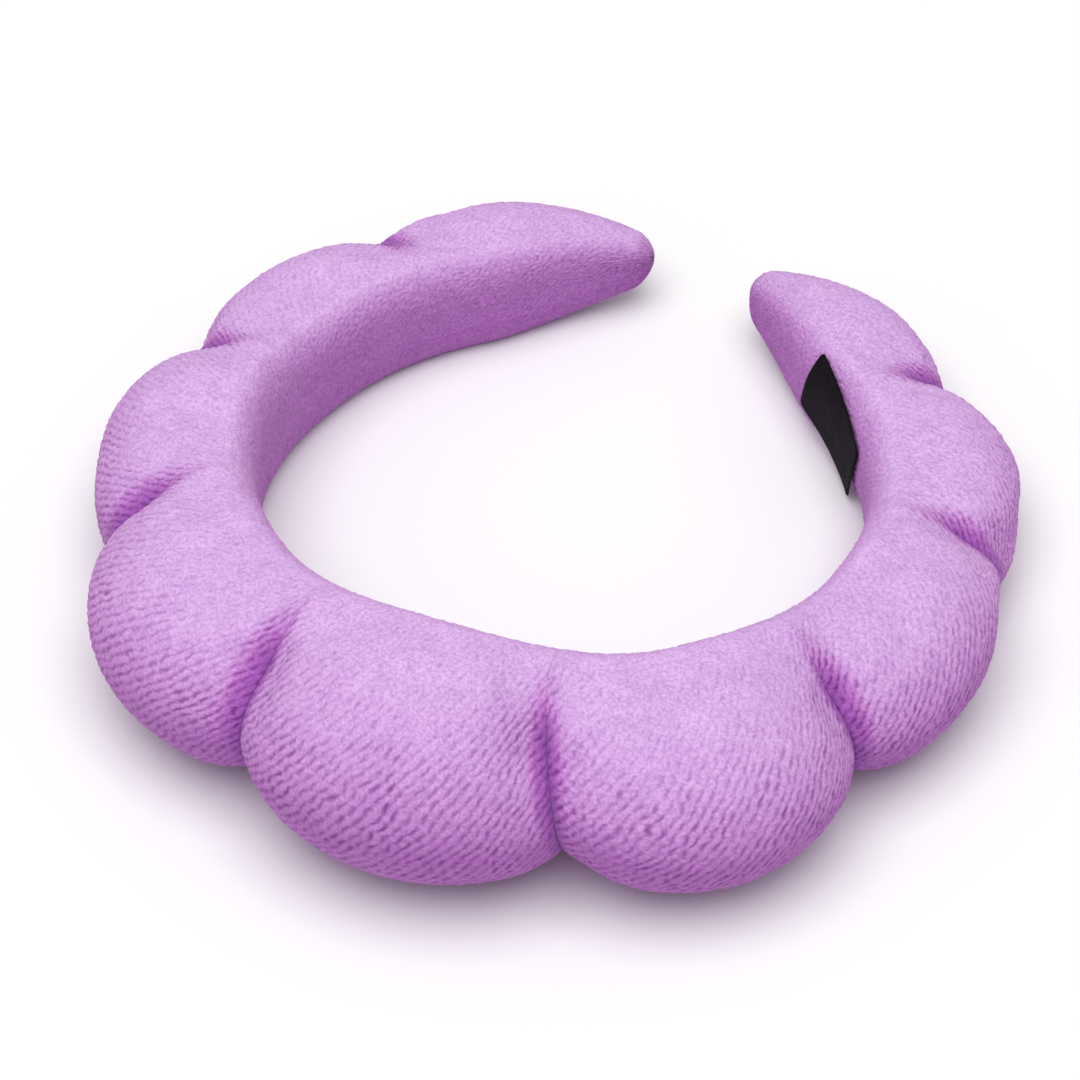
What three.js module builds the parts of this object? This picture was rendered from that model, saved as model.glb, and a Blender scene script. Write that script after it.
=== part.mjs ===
// Spa headband: nine puffed terry lobes strung on one springy hoop, lying on its side.
// The hoop is a C in the XY plane, its crown at -Y and its open ends at +Y.
// The origin is at the middle of the footprint, on the surface the band lies on. Millimetres, +Z up.
import * as THREE from 'three';

// ---- Driving dimensions ----

// The lobes in order, from the left tip over the crown to the right tip.
const LOBE_NAMES = [
  'left_tip', 'left_rear', 'left_side', 'left_front', 'crown',
  'right_front', 'right_side', 'right_rear', 'right_tip',
];
const CROWN = LOBE_NAMES.indexOf('crown');
const LAST_LOBE = LOBE_NAMES.length - 1;

// Per lobe: length along the inner face, depth from inner to outer face, and height.
const LOBE_LENGTH = [48.5, 40.5, 42, 43, 45.5, 44.5, 42.5, 41.5, 42];
const LOBE_DEPTH = [30, 31.5, 35, 44, 47, 45.5, 36, 34, 29.5];
const LOBE_HEIGHT = [28, 31, 39, 46.5, 54, 46.5, 39, 31, 28];

// Per groove between two lobes: what is left of the depth there, as a share.
const GROOVE_DEPTH_LEFT = [0.82, 0.78, 0.82, 0.78, 0.74, 0.74, 0.85, 0.78];
const GROOVE_HEIGHT_LEFT = 0.68;

// Per groove: how far its hinge opens, in degrees.
const HINGE_OPENING = [2.4, 4, 6, 8, 8, 6, 4, 2.4];

// Inner face, seen from above: a tight arc round the crown and a wider arc along each arm.
const CROWN_RADIUS = 64.4;
const ARM_RADIUS = 68.4;
const CROWN_ARC_HALF = 110;

// Section of the tube: how far out it is tallest, and how square its inner and outer halves are.
const TALLEST_AT = 0.35;
const INNER_SQUARENESS = 3.2;
const OUTER_SQUARENESS = 2;
const PINCH_STARTS = 0.2;
const PINCH_FULL = 0.8;
const REST_FLAT = 1;

// Outline of a lobe between its two grooves.
const LOBE_ROUNDNESS = 1.9;
const LOBE_FULLNESS = 1 / 1.3;

// Tip lobes: where they start to taper, and what is left of depth and height at the end.
const TAPER_START = -0.35;
const TIP_DEPTH_LEFT = 0.26;
const TIP_HEIGHT_LEFT = 0.34;
const TIP_DEPTH_CURVE = 1.4;
const TIP_HEIGHT_CURVE = 2;
const TIP_TURN_OUT = 0.54;
const TIP_ROUND_START = 0.9;
const TIP_POINT = 0.12;

// Layers, from the inner face outwards. The hoop and the puffs sit a little slack in the cover.
const COVER_THICKNESS = 1.6;
const CLEARANCE = 0.3;
const HOOP_THICKNESS = 1.4;
const HOOP_WIDTH_SHARE = 0.36;
const HOOP_END = 0.55;
const HOOP_SLACK = 0.8;
const HOOP_FRONT = COVER_THICKNESS + HOOP_SLACK;
const HOOP_BACK = HOOP_FRONT + HOOP_THICKNESS;
const HINGE_DEPTH = (HOOP_FRONT + HOOP_BACK) / 2;
const PUFF_SLACK = 1.2;
const PUFF_INSET = COVER_THICKNESS + PUFF_SLACK;
const PUFF_FRONT = HOOP_BACK + 2 * CLEARANCE;

// Pinch thread in each groove.
const THREAD_RADIUS = 0.35;
const THREAD_CLEARANCE = 0.2;
const THREAD_REACH = 98;
const THREAD_INSET = 1.2;
const WEDGE_MARGIN = 0.13;

// Blank care label, which lies along the inner face where the right tip lobe begins.
const LABEL_CORNER = 162.3;
const LABEL_TOP = 27;
const LABEL_LENGTH = 26;
const LABEL_WIDTH = 19.5;
const LABEL_TILT = 16;
const LABEL_THICKNESS = 0.5;

// Mesh fineness.
const COVER_RINGS = 9;
const COVER_SIDES = 20;
const PUFF_RINGS = 6;
const PUFF_SIDES = 14;
const HOOP_STEPS = 6;
const THREAD_STEPS = 14;
const THREAD_SIDES = 5;
const LABEL_STEPS = 6;

// ---- Materials ----

const terry = new THREE.MeshStandardMaterial({ color: 0xd4a5e4, roughness: 0.95, metalness: 0 });
const foam = new THREE.MeshStandardMaterial({ color: 0xf2efe6, roughness: 0.9, metalness: 0 });
const springStrip = new THREE.MeshStandardMaterial({ color: 0xe9e9ea, roughness: 0.45, metalness: 0 });
const sewingThread = new THREE.MeshStandardMaterial({ color: 0xa45fb4, roughness: 0.8, metalness: 0 });
const labelSatin = new THREE.MeshStandardMaterial({ color: 0x0b0b0c, roughness: 0.5, metalness: 0 });

// ---- The band's form ----

const totalLength = LOBE_LENGTH.reduce((sum, length) => sum + length, 0);
const lengthBefore = (lobe) => LOBE_LENGTH.slice(0, lobe).reduce((sum, length) => sum + length, 0);
const crownMiddle = lengthBefore(CROWN) + LOBE_LENGTH[CROWN] / 2;
const lobeMiddle = (lobe) => lengthBefore(lobe) + LOBE_LENGTH[lobe] / 2 - crownMiddle;
const grooveAt = (groove) => lengthBefore(groove + 1) - crownMiddle;

function smoothStep(x) {
  const clamped = Math.min(Math.max(x, 0), 1);
  return clamped * clamped * (3 - 2 * clamped);
}

// The inner face seen from above, at a distance along it from the crown (+ towards the right tip).
function innerFace(distance) {
  const side = distance < 0 ? -1 : 1;
  const length = Math.abs(distance);
  const crownTurn = Math.min(length, CROWN_ARC_HALF) / CROWN_RADIUS;
  const turn = crownTurn + Math.max(length - CROWN_ARC_HALF, 0) / ARM_RADIUS;
  const armX = ARM_RADIUS * (Math.sin(turn) - Math.sin(crownTurn));
  const armY = ARM_RADIUS * (Math.cos(crownTurn) - Math.cos(turn));
  const x = side * (CROWN_RADIUS * Math.sin(crownTurn) + armX);
  const y = CROWN_RADIUS * (1 - Math.cos(crownTurn)) + armY;
  return { x, y, heading: side * turn };
}

// A point at a distance along the band, a depth out from the inner face, and a height.
function bandPoint(distance, depth, height) {
  const { x, y, heading } = innerFace(distance);
  return new THREE.Vector3(x + depth * Math.sin(heading), y - depth * Math.cos(heading), height);
}

// A per-lobe value, blended smoothly from the middle of one lobe to the middle of the next.
function blendedValue(values, distance) {
  let lobe = 0;
  while (lobe < LAST_LOBE - 1 && distance > lobeMiddle(lobe + 1)) {
    lobe += 1;
  }
  const span = lobeMiddle(lobe + 1) - lobeMiddle(lobe);
  const share = smoothStep((distance - lobeMiddle(lobe)) / span);
  return values[lobe] * (1 - share) + values[lobe + 1] * share;
}

// The tube's own measures at place t of a lobe: t runs from -1 at its left end to 1 at its right end.
function tubeAt(lobe, t) {
  const distance = lobeMiddle(lobe) + (t * LOBE_LENGTH[lobe]) / 2;
  const tube = {
    depth: blendedValue(LOBE_DEPTH, distance),
    height: blendedValue(LOBE_HEIGHT, distance),
    pinch: 1 - Math.max(0, 1 - Math.abs(t) ** LOBE_ROUNDNESS) ** LOBE_FULLNESS,
    turnedOut: 0,
  };
  tube.middle = tube.height / 2 - REST_FLAT;
  const groove = t < 0 ? lobe - 1 : lobe;
  const isOpenEnd = groove < 0 || groove >= GROOVE_DEPTH_LEFT.length;
  tube.depthLeft = isOpenEnd ? 1 : GROOVE_DEPTH_LEFT[groove];
  const outward = lobe === 0 ? -t : t;
  if (lobe === 0 || lobe === LAST_LOBE) {
    taperTip(tube, (outward - TAPER_START) / (1 - TAPER_START));
  }
  if (isOpenEnd) {
    tube.pinch = 0;
  }
  return tube;
}

// Tapers a tip lobe; along runs from 0 where the taper starts to 1 at the tip's end.
function taperTip(tube, along) {
  const share = Math.min(Math.max(along, 0), 1);
  const depthShare = 1 - (1 - TIP_DEPTH_LEFT) * share ** TIP_DEPTH_CURVE;
  const heightShare = 1 - (1 - TIP_HEIGHT_LEFT) * share ** TIP_HEIGHT_CURVE;
  const intoRound = Math.min(Math.max((share - TIP_ROUND_START) / (1 - TIP_ROUND_START), 0), 1);
  const round = Math.max(Math.sqrt(1 - intoRound ** 2), TIP_POINT);
  tube.turnedOut = TIP_TURN_OUT * tube.depth * (1 - depthShare);
  tube.turnedOut += (tube.depth * depthShare * (1 - round)) / 2;
  tube.depth *= depthShare * round;
  tube.height *= heightShare * round;
}

// One point of the tube's section; angle 0 is the outermost point, 90 the top, 180 the inner face.
function sectionPoint(tube, degrees) {
  const angle = THREE.MathUtils.degToRad(degrees);
  const across = Math.cos(angle);
  const up = Math.sin(angle);
  const power = 2 / (across < 0 ? INNER_SQUARENESS : OUTER_SQUARENESS);
  const reach = Math.abs(across) ** power;
  const depthShare = across < 0 ? TALLEST_AT * (1 - reach) : TALLEST_AT + (1 - TALLEST_AT) * reach;
  const weight = tube.pinch * smoothStep((depthShare - PINCH_STARTS) / (PINCH_FULL - PINCH_STARTS));
  const depth = tube.depth * depthShare * (1 - weight * (1 - tube.depthLeft));
  const rise = (tube.height / 2) * Math.abs(up) ** power * (1 - weight * (1 - GROOVE_HEIGHT_LEFT));
  const height = tube.middle + Math.sign(up) * rise;
  return new THREE.Vector2(tube.turnedOut + depth, Math.max(height, 0));
}

function section(tube, sides) {
  return Array.from({ length: sides }, (_, side) => sectionPoint(tube, (360 * (side + 0.5)) / sides));
}

// The same section, moved inwards by a distance.
function insetSection(points, distance) {
  return points.map((point, index) => {
    const before = points[(index + points.length - 1) % points.length];
    const after = points[(index + 1) % points.length];
    const along = after.clone().sub(before).normalize();
    return new THREE.Vector2(point.x - along.y * distance, point.y + along.x * distance);
  });
}

// How far a lobe's end stands back from the middle of its groove: a wedge that closes as the
// band opens, with room for the pinch thread.
function endSetback(groove, depth) {
  if (groove < 0 || groove >= HINGE_OPENING.length) {
    return 0;
  }
  const slope = Math.tan(THREE.MathUtils.degToRad(HINGE_OPENING[groove])) + WEDGE_MARGIN;
  const wedge = CLEARANCE + slope * Math.max(depth - HINGE_DEPTH, 0);
  return wedge / 2 / (1 + depth / CROWN_RADIUS);
}

// Places a section's points on the band, at place t of a lobe.
function placedSection(lobe, t, points) {
  const groove = t < 0 ? lobe - 1 : lobe;
  return points.map((point) => {
    const reach = LOBE_LENGTH[lobe] / 2 - endSetback(groove, point.x);
    return bandPoint(lobeMiddle(lobe) + t * reach, point.x, point.y);
  });
}

// ---- Building closed meshes ----

// Joins rings of equal size into one closed body. Each ring is joined to the next; a closed loop
// of rings makes a tube wall, otherwise the two ends are capped.
function skin(rings, isLoop) {
  const sides = rings[0].length;
  const points = rings.flat();
  const triangles = [];
  const spans = isLoop ? rings.length : rings.length - 1;
  for (let ring = 0; ring < spans; ring += 1) {
    const next = (ring + 1) % rings.length;
    for (let side = 0; side < sides; side += 1) {
      const turn = (side + 1) % sides;
      const a = ring * sides + side;
      const b = ring * sides + turn;
      const c = next * sides + turn;
      const d = next * sides + side;
      triangles.push(a, b, c, a, c, d);
    }
  }
  if (!isLoop) {
    capRing(triangles, points, rings[0], 0, false);
    capRing(triangles, points, rings.at(-1), (rings.length - 1) * sides, true);
  }
  return facingOut(points, triangles);
}

// Closes a ring with a fan round its middle.
function capRing(triangles, points, ring, first, isLast) {
  const middle = new THREE.Vector3();
  ring.forEach((point) => middle.add(point));
  points.push(middle.divideScalar(ring.length));
  const centre = points.length - 1;
  for (let side = 0; side < ring.length; side += 1) {
    const a = first + side;
    const b = first + ((side + 1) % ring.length);
    if (isLast) {
      triangles.push(a, b, centre);
    } else {
      triangles.push(b, a, centre);
    }
  }
}

// Makes the geometry, turned inside out if its signed volume says so.
function facingOut(points, triangles) {
  let volume = 0;
  for (let i = 0; i < triangles.length; i += 3) {
    const [a, b, c] = triangles.slice(i, i + 3).map((index) => points[index]);
    volume += a.dot(b.clone().cross(c));
  }
  const ordered = volume < 0 ? triangles.slice().reverse() : triangles;
  const geometry = new THREE.BufferGeometry().setFromPoints(points);
  geometry.setIndex(ordered);
  geometry.computeVertexNormals();
  return geometry;
}

// ---- The parts ----

function places(count, from, to) {
  return Array.from({ length: count }, (_, index) => from + ((to - from) * index) / (count - 1));
}

function named(name, geometry, material) {
  const mesh = new THREE.Mesh(geometry, material);
  mesh.name = name;
  return mesh;
}

// One lobe's terry cover: a tube wall, open where it meets the next lobe, closed at a tip's end.
function coverPanel(lobe) {
  const sectionAt = (t) => section(tubeAt(lobe, t), COVER_SIDES);
  const outerRing = (t) => placedSection(lobe, t, sectionAt(t));
  const innerRing = (t) => placedSection(lobe, t, insetSection(sectionAt(t), COVER_THICKNESS));
  if (lobe !== 0 && lobe !== LAST_LOBE) {
    const along = places(COVER_RINGS, -1, 1);
    const wall = [...along.map(outerRing), ...along.slice().reverse().map(innerRing)];
    return skin(wall, true);
  }
  const tip = lobe === 0 ? -1 : 1;
  const outside = [...places(COVER_RINGS, -tip, 0.86 * tip), 0.95 * tip, tip];
  const inside = places(COVER_RINGS - 1, -tip, 0.72 * tip).reverse();
  const wall = [...outside.slice().reverse().map(outerRing), ...inside.slice().reverse().map(innerRing)];
  return skin(wall, false);
}

// One lobe's foam puff: it fills the cover behind the hoop.
function foamPuff(lobe) {
  const ends = { from: -1, to: 1 };
  if (lobe === 0) {
    ends.from = -0.66;
  }
  if (lobe === LAST_LOBE) {
    ends.to = 0.66;
  }
  const rings = places(PUFF_RINGS, ends.from, ends.to).map((t) => {
    const tube = tubeAt(lobe, t);
    const points = insetSection(section(tube, PUFF_SIDES), PUFF_INSET);
    points.forEach((point) => {
      point.x = Math.max(point.x, tube.turnedOut + PUFF_FRONT);
    });
    return placedSection(lobe, t, points);
  });
  return skin(rings, false);
}

// One lobe's stretch of the spring hoop: a flat strip behind the inner face.
function hoopSegment(lobe) {
  const ends = { from: -1, to: 1 };
  if (lobe === 0) {
    ends.from = -HOOP_END;
  }
  if (lobe === LAST_LOBE) {
    ends.to = HOOP_END;
  }
  const rings = places(HOOP_STEPS + 1, ends.from, ends.to).map((t) => {
    const tube = tubeAt(lobe, t);
    const half = (tube.height * HOOP_WIDTH_SHARE) / 2;
    const front = tube.turnedOut + HOOP_FRONT;
    const back = tube.turnedOut + HOOP_BACK;
    const corners = [
      new THREE.Vector2(front, tube.middle - half),
      new THREE.Vector2(back, tube.middle - half),
      new THREE.Vector2(back, tube.middle + half),
      new THREE.Vector2(front, tube.middle + half),
    ];
    return placedSection(lobe, t, corners);
  });
  return skin(rings, false);
}

// The thread that pinches a groove: it runs over the top, round the outside and under.
// It lies against the end of the lobe nearer the crown.
function pinchThread(groove) {
  const isLeft = groove < CROWN;
  const lobe = isLeft ? groove + 1 : groove;
  const t = isLeft ? -1 : 1;
  const towardsGroove = isLeft ? -1 : 1;
  const tube = tubeAt(lobe, t);
  const stand = THREAD_RADIUS + THREAD_CLEARANCE;
  const route = places(THREAD_STEPS + 1, THREAD_REACH, -THREAD_REACH).map((degrees) => {
    const point = sectionPoint(tube, degrees);
    const depth = point.x - THREAD_INSET * Math.cos(THREE.MathUtils.degToRad(degrees));
    const height = point.y - THREAD_INSET * Math.sin(THREE.MathUtils.degToRad(degrees));
    const setback = endSetback(groove, depth) - stand;
    return bandPoint(grooveAt(groove) - towardsGroove * setback, depth, Math.max(height, 1));
  });
  const rings = route.map((point, index) => {
    const before = route[Math.max(index - 1, 0)];
    const after = route[Math.min(index + 1, route.length - 1)];
    const along = after.clone().sub(before).normalize();
    const { heading } = innerFace(grooveAt(groove));
    const across = new THREE.Vector3(Math.cos(heading), Math.sin(heading), 0);
    across.addScaledVector(along, -across.dot(along)).normalize();
    const out = along.clone().cross(across);
    return places(THREAD_SIDES + 1, 0, 2 * Math.PI).slice(0, THREAD_SIDES).map((angle) => {
      const offset = across.clone().multiplyScalar(THREAD_RADIUS * Math.cos(angle));
      offset.addScaledVector(out, THREAD_RADIUS * Math.sin(angle));
      return point.clone().add(offset);
    });
  });
  return skin(rings, false);
}

// The care label: a thin rectangle of ribbon, tilted, that follows the inner face just clear of it.
function careLabel() {
  const tilt = THREE.MathUtils.degToRad(LABEL_TILT);
  const placed = (along, down, depth) => {
    const distance = LABEL_CORNER - along * Math.cos(tilt) + down * Math.sin(tilt);
    const height = LABEL_TOP - along * Math.sin(tilt) - down * Math.cos(tilt);
    return bandPoint(distance, depth, height);
  };
  const near = -2 * CLEARANCE;
  const far = near - LABEL_THICKNESS;
  const rings = places(LABEL_STEPS + 1, 0, LABEL_LENGTH).map((along) => [
    placed(along, 0, near),
    placed(along, 0, far),
    placed(along, LABEL_WIDTH, far),
    placed(along, LABEL_WIDTH, near),
  ]);
  return skin(rings, false);
}

// ---- Assembly ----

const band = new THREE.Group();
LOBE_NAMES.forEach((name, lobe) => {
  band.add(named(`cover_${name}`, coverPanel(lobe), terry.clone()));
  band.add(named(`puff_${name}`, foamPuff(lobe), foam.clone()));
  band.add(named(`hoop_${name}`, hoopSegment(lobe), springStrip.clone()));
});
HINGE_OPENING.forEach((_, groove) => {
  const outerLobe = groove < CROWN ? groove : groove + 1;
  band.add(named(`pinch_thread_${LOBE_NAMES[outerLobe]}`, pinchThread(groove), sewingThread.clone()));
});
band.add(named('care_label', careLabel(), labelSatin));

// The footprint's middle becomes the origin.
const footprint = new THREE.Box3().setFromObject(band, true).getCenter(new THREE.Vector3());
band.position.set(-footprint.x, -footprint.y, 0);

export default band;
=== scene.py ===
import math

import bpy
import numpy as np
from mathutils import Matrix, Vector


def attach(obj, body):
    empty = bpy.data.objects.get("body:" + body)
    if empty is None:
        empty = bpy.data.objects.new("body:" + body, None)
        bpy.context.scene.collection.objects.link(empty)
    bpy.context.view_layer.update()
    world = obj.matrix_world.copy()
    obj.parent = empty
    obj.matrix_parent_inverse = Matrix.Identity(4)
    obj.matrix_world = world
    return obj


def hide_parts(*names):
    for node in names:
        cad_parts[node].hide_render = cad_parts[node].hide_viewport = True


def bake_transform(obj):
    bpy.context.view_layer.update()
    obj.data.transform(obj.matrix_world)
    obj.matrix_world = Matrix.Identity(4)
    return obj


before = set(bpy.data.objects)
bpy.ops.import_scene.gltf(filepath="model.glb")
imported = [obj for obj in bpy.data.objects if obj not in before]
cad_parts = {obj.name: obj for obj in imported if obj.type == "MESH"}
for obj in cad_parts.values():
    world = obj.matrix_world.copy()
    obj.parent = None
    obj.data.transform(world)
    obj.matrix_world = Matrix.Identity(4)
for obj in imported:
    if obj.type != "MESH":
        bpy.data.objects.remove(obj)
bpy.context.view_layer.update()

# A spa headband: nine padded terry lobes on a spring hoop, lying on its side.
# Its form is worked out in millimetres, and turned into metres where a mesh is made.

MM = 0.001

# ---- The band's form, in millimetres: the same driving dimensions as the CAD source ----

LOBES = ["left_tip", "left_rear", "left_side", "left_front", "crown",
         "right_front", "right_side", "right_rear", "right_tip"]
CROWN = LOBES.index("crown")
LAST = len(LOBES) - 1
LOBE_LENGTH = np.array([48.5, 40.5, 42, 43, 45.5, 44.5, 42.5, 41.5, 42])
LOBE_DEPTH = np.array([30, 31.5, 35, 44, 47, 45.5, 36, 34, 29.5])
LOBE_HEIGHT = np.array([28, 31, 39, 46.5, 54, 46.5, 39, 31, 28])
GROOVE_DEPTH_LEFT = np.array([0.82, 0.78, 0.82, 0.78, 0.74, 0.74, 0.85, 0.78])
GROOVE_HEIGHT_LEFT = 0.68
CROWN_RADIUS = 64.4
ARM_RADIUS = 68.4
CROWN_ARC_HALF = 110
TALLEST_AT = 0.35
INNER_SQUARENESS = 3.2
OUTER_SQUARENESS = 2
PINCH_STARTS = 0.2
PINCH_FULL = 0.8
REST_FLAT = 1
GROOVE_SWAY = np.array([0.5, -0.4, 0.5, 0.4, 1.7, 0.8, -0.4, 0.5])
SWAY_FADE = 14.0
SWAY_FROM = 0.7
SWAY_OVER = 0.9
LOBE_ROUNDNESS = 1.9
LOBE_FULLNESS = 1 / 1.3
TAPER_START = -0.35
TIP_DEPTH_LEFT = 0.26
TIP_HEIGHT_LEFT = 0.34
TIP_DEPTH_CURVE = 1.4
TIP_HEIGHT_CURVE = 2
TIP_TURN_OUT = 0.54
TIP_ROUND_START = 0.9
TIP_POINT = 0.12

# Pieces inside the cover, and the care label, as the CAD source has them.
PUFF_INSET = 2.8
PUFF_FRONT = 4.4
PUFF_TIP_END = 0.66
THREAD_RADIUS = 0.35
THREAD_REACH = math.radians(98)
HINGE_OPENING = [2.4, 4, 6, 8, 8, 6, 4, 2.4]
HINGE_DEPTH = 3.1
WEDGE_MARGIN = 0.13
CLEARANCE = 0.3
LABEL_CORNER = 162.3
LABEL_TOP = 27
LABEL_LENGTH = 26
LABEL_WIDTH = 19.5
LABEL_TILT = math.radians(16)
LABEL_THICKNESS = 0.5

# ---- The cloth ----

# The crown and its left neighbour swell the most, so their cloth starts a little shallower.
SWELL_TRIM = np.array([0, 0, 0, 1.2, 1.8, 0, 0, 0, 0])

SEAM_ANGLE = math.radians(225)
DENSE_ANGLES = 4001
DENSE_PLACES = 1601
PROFILE_SIDES = 48
FOOTPRINT_SIDES = 80
FOOTPRINT_PLACES = 61
LOOP_GRID = 0.35
SIM_STEPS = 16
SIM_SIDES = 56
SIM_FRAMES = 20
CLOTH = {"quality": 6, "mass": 0.01, "tension_stiffness": 5, "compression_stiffness": 5,
         "shear_stiffness": 5, "bending_stiffness": 0.05, "shrink_min": -0.06, "air_damping": 3,
         "pin_stiffness": 2, "use_pressure": True, "uniform_pressure_force": 100}
SWELL_CAP = 3.0
SWELL_ROOM = 1.4
DENT_CAP = 0.7
EASE_PASSES = 3
HELD_FROM = 0.15
HELD_OVER = 0.65
HELD_END = 0.04
TIP_HELD_FROM = -0.85
TIP_HELD_OVER = 0.9
LINING_RINGS = 8
LINING_INSET = 1.5
LINING_END = 0.8

# ---- The pile and its colours ----

# How wide each groove's painted fold shade is, on the lobe to its left and on the lobe to its right.
FOLD_SHADE_LEFT = np.array([6.5, 6.5, 6.5, 6.5, 4.6, 2.6, 2.6, 2.6])
FOLD_SHADE_RIGHT = np.array([2.6, 2.6, 2.6, 2.6, 3.6, 6.5, 6.5, 6.5])
# Where round the tube the painted fold shade begins, and over how much it grows to full.
FOLD_SHADE_FROM = 0.36
FOLD_SHADE_OVER = 0.44
# Painted shade on cloth that faces down: full where its normal's upward part is the first number, none
# at the second, and at most the third share of the way along the shaded colours.
SHADE_FULL_FACING = -0.1
SHADE_NONE_FACING = 1.05
FACING_SHADE_SHARE = 0.75
# How strong the slits are, in relief and in their painted shade: faint on top where the light falls,
# strong on shaded sides, weaker on the inner face.
SLITS_ON_TOP = 0.33
SLITS_ON_SIDE = 0.74
SLITS_FULL_SHADE = 0.42
SLITS_INSIDE = 0.5
INSIDE_FROM = 0.1
INSIDE_OVER = 0.5
ROW_PITCH = 1.75
ROW_LEAN = math.radians(60)
SLIT_LENGTH = 3.6
SLIT_SLANT = 0.4
SLIT_WIDTH = 0.24
SLIT_BLUNTNESS = 3
VALLEY_SHARE = 0.45
SHALLOWEST_SLIT = 0.5
ROW_OFFSET = 3
CLUMP_SPAN = 3.5
CLUMP_MIDDLE = 0.9
CLUMP_SPREAD = 0.2
DRAWS = 512
NOISE_CELLS = 256
ROW_SEED = 40
ROW_SEED_STEP = 10
PLUSH_SEED = 7
PLUSH_SEED_STEP = 20
ROW_DRIFTS = [(8, 0.45), (2.3, 0.35), (1, 0.2)]
LOOP_HEIGHT = 0.32
PLUSH_HEIGHTS = [(0.9, 0.15), (0.45, 0.12)]
GROOVE_ROOM = 1.5
# The terry's colour on top, then painted shade for sides facing down, for undersides and for the
# grooves' folds.
TERRY_TOP = (0.68, 0.46, 0.77)
TERRY_SIDE_SHADE = (0.61, 0.3, 0.66)
TERRY_UNDERSIDE_SHADE = (0.47, 0.17, 0.52)
TERRY_FOLD_SHADE = (0.36, 0.11, 0.45)
# Painted shade in the slits between rows of loops.
TERRY_SLIT_SHADE = (0.42, 0.19, 0.46)
TERRY_PATCH = (0.95, 0.92, 0.96)
TERRY_CLUMP = (0.94, 0.91, 0.95)
TERRY_SPECK = (0.8, 0.73, 0.83)
TERRY_SHEEN = (1, 0.75, 0.95, 1)
PATCH_SCALE = 70
CLUMP_SCALE = 260
FIBRE_SCALE = 1500
FIBRE_RELIEF = 0.00025
NO_TINT = (1, 1, 1)

# ---- The pieces inside the cover, and the label ----

FOAM_RINGS = 28
FOAM_SIDES = 45
FOAM_LUMPS = 0.5
LUMP_SPAN = 3
LUMP_FADE = 2
FOAM_SEED = 200
FOAM_CELL = (0.62, 0.57, 0.46)
FOAM_WALL = (0.87, 0.84, 0.77)
STRIP_DULL = (0.72, 0.73, 0.76)
STRIP_BRIGHT = (0.84, 0.85, 0.87)
DENSE_ROUTE = 1500
STITCH_STEP = 0.18
STITCH_LENGTH = 3.5
STITCH_LIFT = 0.5
STITCH_SINK = 0.75
STITCH_SIDES = 10
PLY_TURN = 2.2
PLY_DEPTH = 0.16
THREAD_DARK = (0.3, 0.09, 0.36)
THREAD_PALE = (0.48, 0.2, 0.55)
LABEL_ROWS = 60
LABEL_COLUMNS = 46
LABEL_CORNER_ROUND = 0.8
LABEL_ROUND_REACH = 1.5
LABEL_HEM = 1.6
LABEL_HEM_STEP = 0.3
LABEL_HEM_RISE = 0.25
LABEL_EDGE = 0.3
LABEL_THINNEST = 0.2
LABEL_BOW = 0.5
LABEL_BOW_START = 0.4
LABEL_BOW_TURN = 2.2
LABEL_STAND = 0.3
LABEL_WRAP = 2.2
LABEL_DARK = (0.003, 0.002, 0.004)
LABEL_PALE = (0.011, 0.008, 0.014)

# ---- The view and the light ----

VIEW_AZIMUTH = 21.2
VIEW_ELEVATION = 46
VIEW_DISTANCE = 1.2
VIEW_LENS = 187.9
VIEW_TARGET = (-0.00377, 0.00569, 0.0102)
OVERHEAD_POWER = 68
OVERHEAD_PLACE = (0.08, -0.6, 2.6)
OVERHEAD_SIZE = 2.9
OVERHEAD_TINT = (1, 0.99, 1)
FRONT_POWER = 0.5
FRONT_PLACE = (-0.7, -1.0, 0.55)
FRONT_SIZE = 0.8
FRONT_TINT = (1, 0.98, 1)
LIGHT_TARGET = (0, 0, 0.02)
SURROUND = 0.5
FLOOR_REACH = 3.0
FLOOR_DROP = 0.0001
FLOOR_COLOUR = (0.85, 0.85, 0.85, 1)

ENDS = np.concatenate([[0], np.cumsum(LOBE_LENGTH)])
CROWN_MIDDLE = (ENDS[CROWN] + ENDS[CROWN + 1]) / 2
GROOVES = ENDS - CROWN_MIDDLE
MIDDLES = (GROOVES[1:] + GROOVES[:-1]) / 2


def smooth(x):
    x = np.clip(x, 0, 1)
    return x * x * (3 - 2 * x)


def inner_face(distance):
    """The inner face seen from above, at a distance along it from the crown: x, y and heading."""
    side = np.where(distance < 0, -1.0, 1.0)
    length = np.abs(distance)
    crown_turn = np.minimum(length, CROWN_ARC_HALF) / CROWN_RADIUS
    turn = crown_turn + np.maximum(length - CROWN_ARC_HALF, 0) / ARM_RADIUS
    x = CROWN_RADIUS * np.sin(crown_turn) + ARM_RADIUS * (np.sin(turn) - np.sin(crown_turn))
    y = CROWN_RADIUS * (1 - np.cos(crown_turn)) + ARM_RADIUS * (np.cos(crown_turn) - np.cos(turn))
    return side * x, y, side * turn


def band_point(distance, depth, height):
    """Points at a distance along the band, a depth out from the inner face, and a height."""
    x, y, heading = inner_face(np.asarray(distance, float))
    parts = (x + depth * np.sin(heading), y - depth * np.cos(heading), height)
    return np.stack(np.broadcast_arrays(*parts), -1)


def blended(values, distance):
    """A per-lobe value, blended smoothly from the middle of one lobe to the middle of the next."""
    lobe = np.clip(np.searchsorted(MIDDLES, distance) - 1, 0, LAST - 1)
    share = smooth((distance - MIDDLES[lobe]) / (MIDDLES[lobe + 1] - MIDDLES[lobe]))
    return values[lobe] * (1 - share) + values[lobe + 1] * share


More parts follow.
